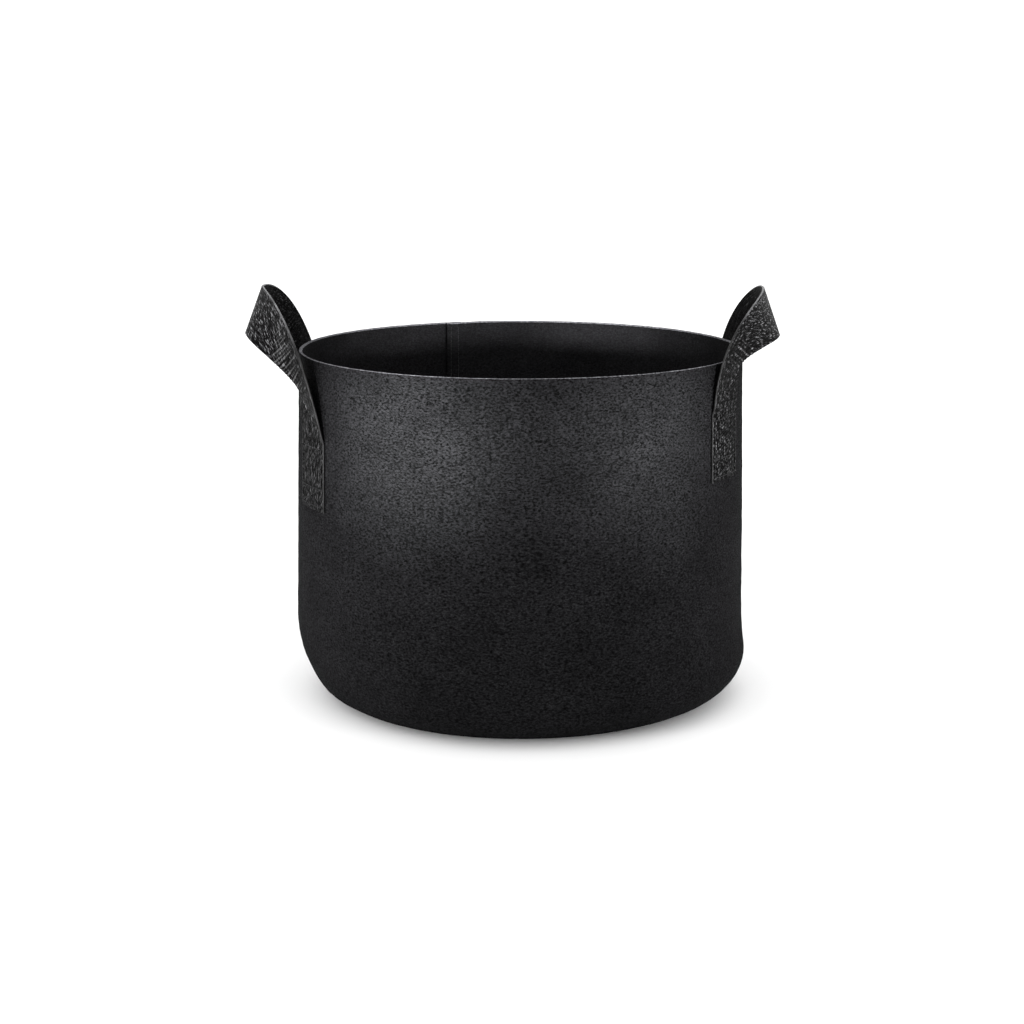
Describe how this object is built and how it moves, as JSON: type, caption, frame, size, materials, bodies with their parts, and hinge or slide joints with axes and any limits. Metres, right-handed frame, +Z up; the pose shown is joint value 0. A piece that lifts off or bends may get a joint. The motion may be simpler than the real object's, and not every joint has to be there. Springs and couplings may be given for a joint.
{
  "type": "fabric grow bag",
  "caption": "Round open-topped planting bag of black felt with a soft rounded bottom edge and a flat webbing loop handle sewn to each side.",
  "frame": {"origin": "centre of the bag's underside, on the surface that it stands on and on the axis of the felt tube", "axes": "+Z up through the open mouth; +X towards the right handle and -X towards the left handle; -Y is the front, and the wall's sewn lap is at the back, towards -X"},
  "size_m": [0.3607, 0.309, 0.2824],
  "materials": {
    "felt": "needle-punched black polypropylene felt, matt, slightly fuzzy and mottled",
    "webbing": "coarsely woven black polypropylene webbing with a dull shine on the yarns",
    "thread": "black twisted polyester sewing thread"
  },
  "bodies": {
    "bag": {"wall_panel": "felt", "base_panel": "felt", "wall_seam_thread": "thread", "base_seam_thread": "thread", "left_handle_front_leg": "webbing", "left_handle_front_stitching": "thread", "left_handle_back_leg": "webbing", "left_handle_back_stitching": "thread", "right_handle_front_leg": "webbing", "right_handle_front_stitching": "thread", "right_handle_back_leg": "webbing", "right_handle_back_stitching": "thread"},
    "left_handle_necks": {"left_handle_front_neck": "webbing", "left_handle_back_neck": "webbing"},
    "left_handle_loop": {"left_handle_grip": "webbing"},
    "right_handle_necks": {"right_handle_front_neck": "webbing", "right_handle_back_neck": "webbing"},
    "right_handle_loop": {"right_handle_grip": "webbing"}
  },
  "joints": [
    {"name": "left_handle_fold_out", "type": "hinge", "parent": "bag", "child": "left_handle_necks", "pos_m": [-0.14886, -0.00832, 0.1858], "axis": [0.0558, -0.9984, 0], "range_deg": [0, 125]},
    {"name": "left_handle_lift", "type": "hinge", "parent": "left_handle_necks", "child": "left_handle_loop", "pos_m": [-0.14756, -0.00825, 0.24635], "axis": [-0.0558, 0.9984, 0], "range_deg": [0, 130]},
    {"name": "right_handle_fold_out", "type": "hinge", "parent": "bag", "child": "right_handle_necks", "pos_m": [0.14801, -0.01503, 0.2058], "axis": [0.1011, 0.9949, 0], "range_deg": [0, 125]},
    {"name": "right_handle_lift", "type": "hinge", "parent": "right_handle_necks", "child": "right_handle_loop", "pos_m": [0.13832, -0.01405, 0.24625], "axis": [-0.1011, -0.9949, 0], "range_deg": [0, 130]}
  ]
}
